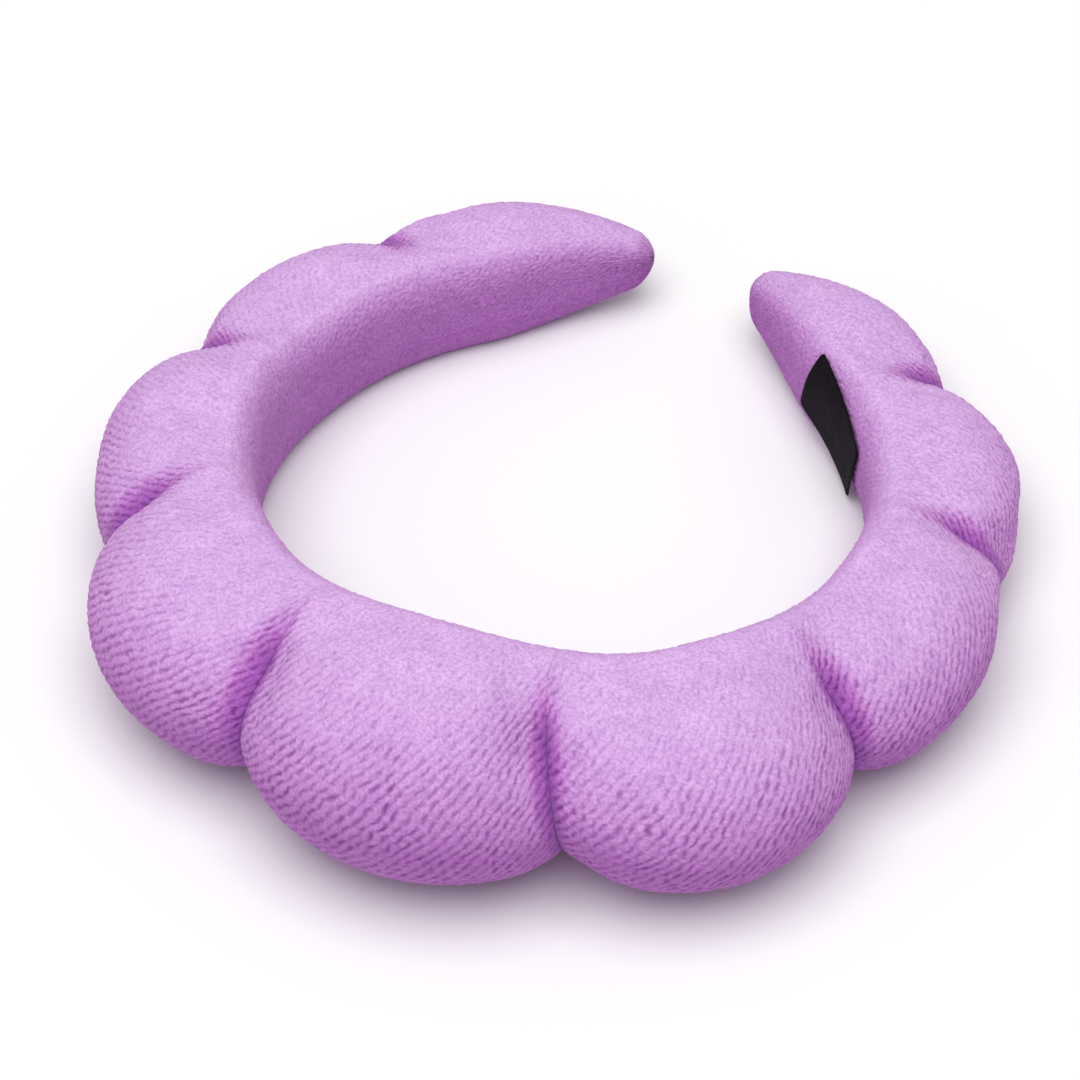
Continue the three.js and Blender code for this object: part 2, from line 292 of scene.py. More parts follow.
def taper_tip(tube, along):
    """Tapers a tip lobe's measures; along runs from 0 where the taper starts to 1 at the end."""
    along = np.clip(along, 0, 1)
    depth_share = 1 - (1 - TIP_DEPTH_LEFT) * along ** TIP_DEPTH_CURVE
    height_share = 1 - (1 - TIP_HEIGHT_LEFT) * along ** TIP_HEIGHT_CURVE
    into_round = np.clip((along - TIP_ROUND_START) / (1 - TIP_ROUND_START), 0, 1)
    rounding = np.maximum(np.sqrt(1 - into_round ** 2), TIP_POINT)
    depth = tube["depth"]
    turned = TIP_TURN_OUT * depth * (1 - depth_share)
    tube["turned_out"] = turned + depth * depth_share * (1 - rounding) / 2
    tube["depth"] = depth * depth_share * rounding
    tube["height"] = tube["height"] * height_share * rounding


def tube_at(lobe, t):
    """The tube's measures at places t of a lobe, from -1 at its left end to 1 at its right end."""
    distance = MIDDLES[lobe] + t * LOBE_LENGTH[lobe] / 2
    height = blended(LOBE_HEIGHT, distance)
    groove = np.where(t < 0, lobe - 1, lobe)
    is_open = (groove < 0) | (groove >= len(GROOVE_DEPTH_LEFT))
    left = GROOVE_DEPTH_LEFT[np.clip(groove, 0, len(GROOVE_DEPTH_LEFT) - 1)]
    pinch = 1 - np.maximum(0, 1 - np.abs(t) ** LOBE_ROUNDNESS) ** LOBE_FULLNESS
    tube = {"distance": distance,
            "depth": blended(LOBE_DEPTH - SWELL_TRIM, distance),
            "height": height,
            "middle": height / 2 - REST_FLAT,
            "pinch": np.where(is_open, 0.0, pinch),
            "left": np.where(is_open, 1.0, left),
            "turned_out": np.zeros_like(height)}
    if lobe in (0, LAST):
        outward = -t if lobe == 0 else t
        taper_tip(tube, (outward - TAPER_START) / (1 - TAPER_START))
    return tube


def section(tube, angle):
    """Depths and heights of the tube's sections; angle 0 is outermost, a quarter turn the top."""
    across = np.cos(angle)[None, :]
    up = np.sin(angle)[None, :]
    power = np.where(across < 0, 2 / INNER_SQUARENESS, 2 / OUTER_SQUARENESS)
    reach = np.abs(across) ** power
    share = np.where(across < 0, TALLEST_AT * (1 - reach), TALLEST_AT + (1 - TALLEST_AT) * reach)
    column = {key: value[:, None] for key, value in tube.items()}
    weight = column["pinch"] * smooth((share - PINCH_STARTS) / (PINCH_FULL - PINCH_STARTS))
    depth = column["depth"] * share * (1 - weight * (1 - column["left"]))
    rise = column["height"] / 2 * np.abs(up) ** power * (1 - weight * (1 - GROOVE_HEIGHT_LEFT))
    height = column["middle"] + np.sign(up) * rise
    return column["turned_out"] + depth, height


def inset_section(depth, height, distance):
    """The same sections, moved inwards by a distance."""
    along_depth = np.roll(depth, -1, 1) - np.roll(depth, 1, 1)
    along_height = np.roll(height, -1, 1) - np.roll(height, 1, 1)
    length = np.maximum(np.hypot(along_depth, along_height), 1e-6)
    return depth - along_height / length * distance, height + along_depth / length * distance


def cumulative(steps):
    return np.concatenate([[0], np.cumsum(steps)])


def even_angles(count):
    """Section angles spaced evenly round the crown's tube from its seam, and the distance round."""
    dense = SEAM_ANGLE + np.linspace(0, 2 * np.pi, DENSE_ANGLES)
    depth, height = section(tube_at(CROWN, np.zeros(1)), dense)
    along = cumulative(np.hypot(np.diff(depth[0]), np.diff(height[0])))
    return np.interp(np.linspace(0, along[-1], count + 1)[:-1], along, dense), along[-1]


def sway(lobe, t, angle):
    """How far along the band the cloth is drawn by grooves that lean as they come over the top."""
    aside = 0 * t
    for groove, from_groove in ((lobe - 1, 1 + t), (lobe, 1 - t)):
        if 0 <= groove < LAST:
            fade = smooth(1 - from_groove * LOBE_LENGTH[lobe] / 2 / SWAY_FADE)
            aside = aside + GROOVE_SWAY[groove] * fade
    lean = -np.sin(angle) * smooth((np.cos(angle) + SWAY_FROM) / SWAY_OVER)
    return aside[:, None] * lean[None, :]


def lobe_surface(lobe, t, angle):
    """A lobe's smooth outer surface on a grid of places t by section angles."""
    tube = tube_at(lobe, t)
    depth, height = section(tube, angle)
    distance = tube["distance"][:, None] + sway(lobe, t, angle)
    return band_point(distance, depth, np.maximum(height, 0))


def lobe_profile(lobe):
    """Places t along a lobe, and how far along the cloth each is, averaged round the tube."""
    dense = np.linspace(-1, 1, DENSE_PLACES)
    angle, _ = even_angles(PROFILE_SIDES)
    steps = np.linalg.norm(np.diff(lobe_surface(lobe, dense, angle), axis=0), axis=2)
    return dense, cumulative(steps.mean(1))


def even_places(lobe, count):
    """Places t spaced evenly along a lobe's cloth, and how far along each is."""
    dense, along = lobe_profile(lobe)
    wanted = np.linspace(0, along[-1], count)
    return np.interp(wanted, along, dense), wanted


def footprint_middle():
    """The middle of the band's footprint, which is the frame's origin."""
    angle, _ = even_angles(FOOTPRINT_SIDES)
    places = np.linspace(-1, 1, FOOTPRINT_PLACES)
    grids = [lobe_surface(lobe, places, angle) for lobe in range(LAST + 1)]
    points = np.concatenate([grid.reshape(-1, 3) for grid in grids])
    middle = (points.max(0) + points.min(0)) / 2
    return middle * (1, 1, 0)


ORIGIN = footprint_middle()


def to_metres(points):
    return (points - ORIGIN) * MM


# ---- Grids and meshes ----

def cubic_weights(f):
    """Catmull-Rom weights of the four neighbours at fraction f."""
    return [(-f + 2 * f ** 2 - f ** 3) / 2, (2 - 5 * f ** 2 + 3 * f ** 3) / 2,
            (f + 4 * f ** 2 - 3 * f ** 3) / 2, (f ** 3 - f ** 2) / 2]


def resample(grid, places, wraps):
    """Smoothly resamples a grid along its first axis, at fractional places."""
    count = len(grid)
    base = np.floor(places).astype(int)
    if not wraps:
        base = np.clip(base, 0, count - 2)
    made = 0
    for offset, weight in zip((-1, 0, 1, 2), cubic_weights(places - base)):
        index = (base + offset) % count if wraps else np.clip(base + offset, 0, count - 1)
        made = made + grid[index] * weight.reshape((-1,) + (1,) * (grid.ndim - 1))
    return made


def moves_at(lobe, moves, t, sides):
    """A lobe's moves at places t along it, at sides spaced evenly round the tube."""
    known, _ = even_places(lobe, len(moves))
    rows = resample(moves, np.interp(t, known, np.arange(len(known))), False)
    across = np.arange(sides) * moves.shape[1] / sides
    return np.swapaxes(resample(np.swapaxes(rows, 0, 1), across, True), 0, 1)


def wall_faces(first, rings, sides, closes=False):
    """Quads between rings of points whose numbers start at first."""
    spans = rings if closes else rings - 1
    ring, side = np.meshgrid(np.arange(spans), np.arange(sides), indexing="ij")
    after = (ring + 1) % rings
    turn = (side + 1) % sides
    quads = np.stack([ring * sides + side, ring * sides + turn,
                      after * sides + turn, after * sides + side], -1)
    return (first + quads.reshape(-1, 4)).tolist()


def fan_faces(first, sides, middle):
    """Triangles from a ring whose numbers start at first, to the point at its middle."""
    return [[first + side, first + (side + 1) % sides, middle] for side in range(sides)]


def make_mesh(name, points, faces):
    """A smooth-shaded mesh object from points in metres, with its faces turned outwards."""
    mesh = bpy.data.meshes.new(name)
    mesh.from_pydata(points.tolist(), [], faces)
    mesh.update()
    mesh.calc_loop_triangles()
    corners = np.empty(len(mesh.loop_triangles) * 3, np.int32)
    mesh.loop_triangles.foreach_get("vertices", corners)
    a, b, c = points[corners.reshape(-1, 3)].transpose(1, 0, 2)
    if np.einsum("ij,ij->", a, np.cross(b, c)) < 0:
        mesh.flip_normals()
    mesh.shade_smooth()
    made = bpy.data.objects.new(name, mesh)
    bpy.context.scene.collection.objects.link(made)
    return made


def set_values(piece, name, values):
    """Stores one number per point on a piece, for its material to read."""
    attribute = piece.data.attributes.new(name, "FLOAT", "POINT")
    attribute.data.foreach_set("value", np.asarray(values, np.float32))


def grid_normals(grid):
    """Outward unit normals of a grid of rings by sides."""
    along = np.gradient(grid, axis=0)
    round_tube = np.roll(grid, -1, 1) - np.roll(grid, 1, 1)
    normal = np.cross(along, round_tube)
    return normal / np.maximum(np.linalg.norm(normal, axis=2, keepdims=True), 1e-9)


# ---- Cloth simulation of the gathered cover ----

def eased(move, free):
    """The moves with their sharpest creases eased, and none where the cloth is held."""
    for _ in range(EASE_PASSES):
        round_tube = (np.roll(move, 1, 1) + np.roll(move, -1, 1)) / 2
        along = move.copy()
        along[1:-1] = (move[2:] + move[:-2]) / 2
        move = move / 2 + (round_tube + along) / 4
    return move * np.sqrt(free)[:, :, None]


def blown_up(sheet):
    """Runs the cloth on a sheet with a group of held points, and gives its points at the end."""
    cloth = sheet.modifiers.new("cloth", "CLOTH")
    for name, value in CLOTH.items():
        setattr(cloth.settings, name, value)
    cloth.settings.vertex_group_mass = "held"
    cloth.settings.effector_weights.gravity = 0
    cloth.collision_settings.use_collision = False
    cloth.point_cache.frame_end = SIM_FRAMES
    scene = bpy.context.scene
    for number in range(1, SIM_FRAMES + 1):
        scene.frame_set(number)
    shown = sheet.evaluated_get(bpy.context.evaluated_depsgraph_get())
    points = np.empty(len(shown.data.vertices) * 3)
    shown.data.vertices.foreach_get("co", points)
    scene.frame_set(1)
    bpy.data.objects.remove(sheet)
    return points


def held_share(lobe, t, angle):
    """How firmly the cloth is held: fully at a groove, on the inner face and along most of a tip."""
    inner = smooth((HELD_FROM - np.cos(angle)) / HELD_OVER)[None, :]
    at_end = smooth((np.abs(t) - 1 + HELD_END) / HELD_END)[:, None]
    if lobe in (0, LAST):
        outward = -t if lobe == 0 else t
        at_tip = smooth((outward - TIP_HELD_FROM) / TIP_HELD_OVER)[:, None]
        at_end = np.maximum(at_end, at_tip)
    return np.maximum(inner, at_end)


def swollen_cover():
    """How far the cloth moves, in millimetres, when the cover is blown up between its grooves.
    It has a little more cloth than the space it fills, and is held at its grooves and inner face,
    so it bulges between them and puckers beside them. One grid of moves for each lobe."""
    angle, _ = even_angles(SIM_SIDES)
    gathered, held = [], []
    for lobe in range(LAST + 1):
        t, _ = even_places(lobe, SIM_STEPS + 1)
        t = t if lobe == LAST else t[:-1]
        gathered.append(lobe_surface(lobe, t, angle))
        held.append(held_share(lobe, t, angle))
    start = np.concatenate(gathered)
    pins = np.concatenate(held)
    sheet = make_mesh("cover_simulation", to_metres(start.reshape(-1, 3)),
                      wall_faces(0, len(start), SIM_SIDES))
    group = sheet.vertex_groups.new(name="held")
    for index, hold in enumerate(pins.ravel()):
        group.add([index], float(hold), "REPLACE")
    move = eased(blown_up(sheet).reshape(start.shape) / MM + ORIGIN - start, 1 - pins)
    normal = grid_normals(start)
    outwards = (move * normal).sum(2, keepdims=True)
    allowed = np.clip(outwards, -DENT_CAP, SWELL_CAP)
    move = move + (allowed - outwards - SWELL_ROOM * (1 - pins)[:, :, None]) * normal
    size = np.linalg.norm(move, axis=2, keepdims=True)
    move = move * np.minimum(1, SWELL_CAP / np.maximum(size, 1e-6))
    return [move[lobe * SIM_STEPS:(lobe + 1) * SIM_STEPS + 1] for lobe in range(LAST + 1)]


# ---- Terry loops ----

def lattice_noise(x, y, seed, turns=0):
    """Smooth noise from -1 to 1 over a lattice of unit cells; turns is its period in y, if any."""
    table = np.random.default_rng(seed).uniform(-1, 1, (NOISE_CELLS, NOISE_CELLS))
    x0 = np.floor(x).astype(int)
    y0 = np.floor(y).astype(int)
    fx = smooth(x - x0)
    fy = smooth(y - y0)

    def corner(i, j):
        j = j % turns if turns else j
        return table[i % NOISE_CELLS, j % NOISE_CELLS]

    low = corner(x0, y0) * (1 - fx) + corner(x0 + 1, y0) * fx
    high = corner(x0, y0 + 1) * (1 - fx) + corner(x0 + 1, y0 + 1) * fx
    return low * (1 - fy) + high * fy


def terry_rows(along, across, seed):
    """The pile's height, 0 to 1, at places on the cloth: leaning rows parted by short dark slits."""
    drift = sum(size * lattice_noise(along / span, across / span, seed + number)
                for number, (span, size) in enumerate(ROW_DRIFTS))
    row_way = along * math.cos(ROW_LEAN) + across * math.sin(ROW_LEAN)
    cross_way = across * math.cos(ROW_LEAN) - along * math.sin(ROW_LEAN) + drift
    row = np.round(cross_way / ROW_PITCH).astype(int)
    depths, slants, starts = np.random.default_rng(seed + 9).uniform(0, 1, (3, DRAWS, DRAWS))
    place = row_way / SLIT_LENGTH + ROW_OFFSET * starts[row % DRAWS, 0]
    slit = np.floor(place).astype(int)
    in_slit = place - slit - 0.5
    slant = SLIT_SLANT * 2 * slants[row % DRAWS, slit % DRAWS]
    from_row = cross_way / ROW_PITCH - row
    unevenness = lattice_noise(along / CLUMP_SPAN, across / CLUMP_SPAN, seed + 8)
    clump = CLUMP_MIDDLE + CLUMP_SPREAD * unevenness
    depth = SHALLOWEST_SLIT + (1 - SHALLOWEST_SLIT) * depths[row % DRAWS, slit % DRAWS]
    depth = clump * depth * np.clip(1 - np.abs(2 * in_slit) ** SLIT_BLUNTNESS, 0, 1)
    valley = 0.5 + 0.5 * np.cos(2 * np.pi * from_row)
    slits = depth * np.exp(-((from_row - slant * in_slit) / SLIT_WIDTH) ** 2)
    return 1 - VALLEY_SHARE * clump * valley - (1 - VALLEY_SHARE) * slits


# ---- The cover ----

def fold_shade(lobe, t, angle):
    """Painted fold shade, by how deep in a groove the cloth lies: 1 at its bottom, 0 on the open lobe.
    """
    share = (1 + np.cos(angle)) / 2
    width = np.where(t < 0, FOLD_SHADE_RIGHT[max(lobe - 1, 0)], FOLD_SHADE_LEFT[min(lobe, LAST - 1)])
    near = 1 - smooth((1 - np.abs(t)) * LOBE_LENGTH[lobe] / 2 / width)
    near = np.where(tube_at(lobe, t)["pinch"] > 0, near, 0)
    return near[:, None] * smooth((share - FOLD_SHADE_FROM) / FOLD_SHADE_OVER)[None, :]


def relief_share(lobe, rings):
    """How much of its relief the pile keeps at each ring: none at a groove, so that lobes meet."""
    share = np.ones(rings)
    from_left = smooth(np.arange(rings) * LOOP_GRID / GROOVE_ROOM)
    if lobe > 0:
        share = share * from_left
    if lobe < LAST:
        share = share * from_left[::-1]
    return share


def cover_grid(lobe, moves):
    """A lobe's outer surface in millimetres, its pile's height, and its painted shade from facing down
    and from lying in a groove's fold.
    """
    dense, length = lobe_profile(lobe)
    rings = int(length[-1] / LOOP_GRID) + 1
    _, girth = even_angles(SIM_SIDES)
    sides = int(girth / LOOP_GRID)
    angle, _ = even_angles(sides)
    t, along = even_places(lobe, rings)
    grid = lobe_surface(lobe, t, angle) + moves_at(lobe, moves, t, sides)
    normal = grid_normals(grid)
    across = np.arange(sides) * girth / sides
    along = (along - length[-1] / 2)[:, None] + 0 * across[None, :]
    across = across[None, :] + 0 * along
    # Painted shade: more as the cloth turns to face down, and more in a groove's fold.
    facing_down = np.clip((SHADE_NONE_FACING - normal[:, :, 2]) / (SHADE_NONE_FACING - SHADE_FULL_FACING), 0, 1)
    painted_shade = np.maximum(FACING_SHADE_SHARE * facing_down, fold_shade(lobe, t, angle))
    # The slits, in relief and in their painted shade, grow stronger where painted shade falls.
    strength = SLITS_ON_TOP + (SLITS_ON_SIDE - SLITS_ON_TOP) * smooth(painted_shade / SLITS_FULL_SHADE)
    inside = smooth((-np.cos(angle) - INSIDE_FROM) / INSIDE_OVER)
    strength = strength * (1 - (1 - SLITS_INSIDE) * inside)
    pile = 1 - strength * (1 - terry_rows(along, across, ROW_SEED + ROW_SEED_STEP * lobe))
    plush = 0
    for number, (span, size) in enumerate(PLUSH_HEIGHTS):
        seed = PLUSH_SEED + PLUSH_SEED_STEP * number + lobe
        plush = plush + size * lattice_noise(along / span, across / span, seed)
    rise = (LOOP_HEIGHT * (pile - 1) + plush) * relief_share(lobe, rings)[:, None]
    grid = grid + normal * rise[:, :, None]
    grid[:, :, 2] = np.maximum(grid[:, :, 2], 0)
    return angle, grid, pile, painted_shade


def lining_grid(lobe, moves, angle):
    """The cover's inner surface, from its last groove back towards its first."""
    first, last = -1, 1
    if lobe == 0:
        first = -LINING_END
    if lobe == LAST:
        last = LINING_END
    places = np.linspace(last, first, LINING_RINGS)
    tube = tube_at(lobe, places)
    depth, height = section(tube, angle)
    depth, height = inset_section(depth, np.maximum(height, 0), LINING_INSET)
    distance = tube["distance"][:, None] + sway(lobe, places, angle)
    return band_point(distance, depth, height) + moves_at(lobe, moves, places, len(angle))


def cover_piece(lobe, moves):
    """One lobe's terry cover: a fine outside and a plain lining, closed at a tip's end."""
    angle, outside, pile, painted_shade = cover_grid(lobe, moves)
    lining = lining_grid(lobe, moves, angle)
    if lobe == LAST:
        outside, lining, pile, painted_shade = outside[::-1], lining[::-1], pile[::-1], painted_shade[::-1]
    grid = np.concatenate([outside, lining])
    rings, sides = grid.shape[:2]
    points = grid.reshape(-1, 3)
    is_tip = lobe in (0, LAST)
    faces = wall_faces(0, rings, sides, closes=not is_tip)
    if is_tip:
        ends = np.stack([grid[0].mean(0), grid[-1].mean(0)])
        points = np.concatenate([points, ends])
        first_end = rings * sides
        faces += [face[::-1] for face in fan_faces(0, sides, first_end)]
        faces += fan_faces((rings - 1) * sides, sides, first_end + 1)
    cover = make_mesh("terry_" + LOBES[lobe], to_metres(points), faces)
    for name, value in (("pile", pile), ("painted_shade", painted_shade)):
        inside = np.zeros(len(points) - value.size)
        set_values(cover, name, np.concatenate([value.ravel(), inside]))
    return cover


# ---- Foam puffs ----

def end_setback(groove, depth):
    """How far a lobe's end stands back from its groove's middle, at depths in its section."""
    if not 0 <= groove < len(HINGE_OPENING):
        return 0 * depth
    slope = math.tan(math.radians(HINGE_OPENING[groove])) + WEDGE_MARGIN
    wedge = CLEARANCE + slope * np.maximum(depth - HINGE_DEPTH, 0)
    return wedge / 2 / (1 + depth / CROWN_RADIUS)


def foam_piece(lobe, moves):
    """One lobe's foam puff, which fills its cover behind the spring strip."""
    first = -PUFF_TIP_END if lobe == 0 else -1
    last = PUFF_TIP_END if lobe == LAST else 1
    t = np.linspace(first, last, FOAM_RINGS)
    angle, _ = even_angles(FOAM_SIDES)
    tube = tube_at(lobe, t)
    depth, height = section(tube, angle)
    depth, height = inset_section(depth, np.maximum(height, 0), PUFF_INSET)
    depth = np.maximum(depth, tube["turned_out"][:, None] + PUFF_FRONT)
    setback = np.where(t[:, None] < 0, end_setback(lobe - 1, depth), end_setback(lobe, depth))
    distance = MIDDLES[lobe] + t[:, None] * (LOBE_LENGTH[lobe] / 2 - setback) + sway(lobe, t, angle)
    grid = band_point(distance, depth, height) + moves_at(lobe, moves, t, FOAM_SIDES)
    ring, side = np.meshgrid(np.arange(FOAM_RINGS), np.arange(FOAM_SIDES), indexing="ij")
    turns = FOAM_SIDES // LUMP_SPAN
    noise = lattice_noise(ring / LUMP_SPAN, side / LUMP_SPAN, FOAM_SEED + lobe, turns)
    lumps = 0.5 + 0.5 * noise
    within = smooth(np.minimum(ring, FOAM_RINGS - 1 - ring) / LUMP_FADE)
    grid = grid - grid_normals(grid) * (FOAM_LUMPS * lumps * within)[:, :, None]
    points = np.concatenate([grid.reshape(-1, 3), grid[:1].mean(1), grid[-1:].mean(1)])
    first_end = FOAM_RINGS * FOAM_SIDES
    faces = wall_faces(0, FOAM_RINGS, FOAM_SIDES)
    faces += [face[::-1] for face in fan_faces(0, FOAM_SIDES, first_end)]
    faces += fan_faces(first_end - FOAM_SIDES, FOAM_SIDES, first_end + 1)
    return make_mesh("foam_" + LOBES[lobe], to_metres(points), faces)


# ---- Gathering stitches ----

def stitch_route(groove):
    """The middle line of the thread in a groove: it comes up and goes down at each stitch."""
    lobe = groove + 1 if groove < CROWN else groove
    place = -1.0 if groove < CROWN else 1.0
    tube = tube_at(lobe, np.array([place]))
    dense = np.linspace(THREAD_REACH, -THREAD_REACH, DENSE_ROUTE)
    depth, height = section(tube, dense)
    depth, height = depth[0], height[0]
    along = cumulative(np.hypot(np.diff(depth), np.diff(height)))
    wanted = np.linspace(0, along[-1], int(along[-1] / STITCH_STEP))
    angle = np.interp(wanted, along, dense)
    lift = STITCH_LIFT * np.cos(2 * np.pi * wanted / STITCH_LENGTH) - STITCH_SINK
    depth = np.interp(wanted, along, depth) + lift * np.cos(angle)
    height = np.interp(wanted, along, height) + lift * np.sin(angle)
    distance = GROOVES[groove + 1] + sway(lobe, np.array([place]), angle)[0]
    return band_point(distance, depth, np.maximum(height, THREAD_RADIUS)), wanted


def stitch_piece(groove):
    """The two-ply thread that gathers a groove."""
    route, along = stitch_route(groove)
    forward = np.gradient(route, axis=0)
    forward = forward / np.linalg.norm(forward, axis=1, keepdims=True)
    heading = inner_face(GROOVES[groove + 1])[2]
    across = np.array([math.cos(heading), math.sin(heading), 0])[None, :]
    out = np.cross(forward, across)
    around = np.arange(STITCH_SIDES) * 2 * np.pi / STITCH_SIDES
    twist = 2 * np.pi * along / PLY_TURN
    bulge = np.cos(2 * (around[None, :] - twist[:, None]))
    radius = THREAD_RADIUS * (1 - PLY_DEPTH + PLY_DEPTH * bulge)
    ring = (np.cos(around)[None, :, None] * across[:, None, :]
            + np.sin(around)[None, :, None] * out[:, None, :])
    grid = route[:, None, :] + radius[:, :, None] * ring
    count = len(grid)
    points = np.concatenate([grid.reshape(-1, 3), grid[:1].mean(1), grid[-1:].mean(1)])
    faces = wall_faces(0, count, STITCH_SIDES)
    faces += [face[::-1] for face in fan_faces(0, STITCH_SIDES, count * STITCH_SIDES)]
    faces += fan_faces((count - 1) * STITCH_SIDES, STITCH_SIDES, count * STITCH_SIDES + 1)
    return make_mesh("stitches_" + child_of(groove), to_metres(points), faces)


def child_of(groove):
    """The lobe beyond a groove, seen from the crown."""
    return LOBES[groove if groove < CROWN else groove + 1]


def parent_of(groove):
    """The lobe before a groove, seen from the crown."""
    return LOBES[groove + 1 if groove < CROWN else groove]


# ---- Care label ----

def label_rest(distance, height):
    """How deep the label lies: it hangs straight, but leans back where the inner face rounds over."""
    tube = tube_at(LAST, (distance - MIDDLES[LAST]) / (LOBE_LENGTH[LAST] / 2))
    above = np.clip((height - tube["middle"]) / (tube["height"] / 2), 0, 1)
    reach = (1 - above ** INNER_SQUARENESS) ** (1 / INNER_SQUARENESS)
    depth = tube["turned_out"] + tube["depth"] * TALLEST_AT * (1 - reach)
    return LABEL_WRAP * (1 - np.exp(-depth / LABEL_WRAP))


def label_piece():
    """The blank care label: a thin ribbon along the inner face, with folded hems, bowed a little."""
    along = np.linspace(0, LABEL_LENGTH, LABEL_ROWS)[:, None]
    down = np.linspace(0, LABEL_WIDTH, LABEL_COLUMNS)[None, :]
    to_end = np.minimum(along, LABEL_LENGTH - along) + 0 * down
    to_side = np.minimum(down, LABEL_WIDTH - down) + 0 * along
    edge = np.minimum(to_end, to_side)
    rounded = np.maximum(np.sqrt(np.clip(edge / LABEL_EDGE, 0, 1)), LABEL_THINNEST)
    hem = 1 - LABEL_HEM_RISE + LABEL_HEM_RISE * smooth((LABEL_HEM - to_end) / LABEL_HEM_STEP)
    thick = LABEL_THICKNESS / 2 * rounded * hem
    # Near a corner the ends draw in, which rounds it.
    draw_in = LABEL_CORNER_ROUND * (1 - np.sqrt(np.clip(to_side / LABEL_ROUND_REACH, 0, 1)))
    half = LABEL_LENGTH / 2
    along = half + (along - half) * (1 - draw_in / half)
    bow_along = np.sin(LABEL_BOW_TURN * along / LABEL_LENGTH + LABEL_BOW_START)
    bow = LABEL_BOW * np.sin(np.pi * down / LABEL_WIDTH) * bow_along
    distance = LABEL_CORNER - along * math.cos(LABEL_TILT) + down * math.sin(LABEL_TILT)
    height = LABEL_TOP - along * math.sin(LABEL_TILT) - down * math.cos(LABEL_TILT)
    middle = label_rest(distance, height) - LABEL_STAND - LABEL_THICKNESS / 2 - bow
    sheets = [band_point(distance, middle - way * thick, height) for way in (-1, 1)]
    # Each row of the label is one closed ring: down the front, and back up the rear.
    grid = np.concatenate([sheets[0], sheets[1][:, ::-1]], 1)
    rows, sides = grid.shape[:2]
    points = np.concatenate([grid.reshape(-1, 3), grid[:1].mean(1), grid[-1:].mean(1)])
    faces = wall_faces(0, rows, sides)
    faces += [face[::-1] for face in fan_faces(0, sides, rows * sides)]
    faces += fan_faces((rows - 1) * sides, sides, rows * sides + 1)
    return make_mesh("label_blank", to_metres(points), faces)


# ---- Materials ----

def new_material(name, roughness, **sockets):
    """A material with one Principled shader; sockets are set by their names."""
    material = bpy.data.materials.new(name)
    material.use_nodes = True
    shader = material.node_tree.nodes["Principled BSDF"]
    shader.inputs["Roughness"].default_value = roughness
    for socket, value in sockets.items():
        shader.inputs[socket.replace("_", " ")].default_value = value
    return material, shader


def node(material, kind, **values):
    """A new node, with its properties and inputs set by name."""
    made = material.node_tree.nodes.new(kind)
    for key, value in values.items():
        if hasattr(made, key):
            setattr(made, key, value)
        else:
            made.inputs[key].default_value = value
    return made


def link(material, source, target):
    material.node_tree.links.new(source, target)


def object_noise(material, scale, detail=3.0):
    """Noise fixed to the object, its scale in features a metre."""
    place = node(material, "ShaderNodeTexCoord")
    noise = node(material, "ShaderNodeTexNoise", Scale=scale, Detail=detail)
    link(material, place.outputs["Object"], noise.inputs["Vector"])
    return noise.outputs["Fac"]


def ramp(material, source, stops):
    """A colour ramp from a value; stops are places and linear colours."""
    made = node(material, "ShaderNodeValToRGB")
    while len(made.color_ramp.elements) < len(stops):
        made.color_ramp.elements.new(0.5)
    for element, (place, colour) in zip(made.color_ramp.elements, stops):
        element.position = place
        element.color = (*colour, 1)
    link(material, source, made.inputs["Fac"])
    return made.outputs["Color"]


def mixed(material, amount, first, second, how="MIX"):
    """Two colours mixed by a value or a number."""
    made = node(material, "ShaderNodeMix", data_type="RGBA", blend_type=how)
    for socket, value in ((made.inputs[0], amount), (made.inputs[6], first), (made.inputs[7], second)):
        if isinstance(value, bpy.types.NodeSocket):
            link(material, value, socket)
        else:
            socket.default_value = value if isinstance(value, float) else (*value, 1)
    return made.outputs[2]


def bumped(material, shader, height, distance, strength=1.0):
    """Gives a shader a bump from a height in 0 to 1; distance is its depth in metres."""
    bump = node(material, "ShaderNodeBump", Strength=strength, Distance=distance)
    link(material, height, bump.inputs["Height"])
    link(material, bump.outputs["Normal"], shader.inputs["Normal"])


def varied_roughness(material, shader, source, least, most):
    """Lets a shader's roughness vary between two values with a value from 0 to 1."""
    rough = node(material, "ShaderNodeMapRange")
    rough.inputs["To Min"].default_value = least
    rough.inputs["To Max"].default_value = most
    link(material, source, rough.inputs["Value"])
    link(material, rough.outputs["Result"], shader.inputs["Roughness"])


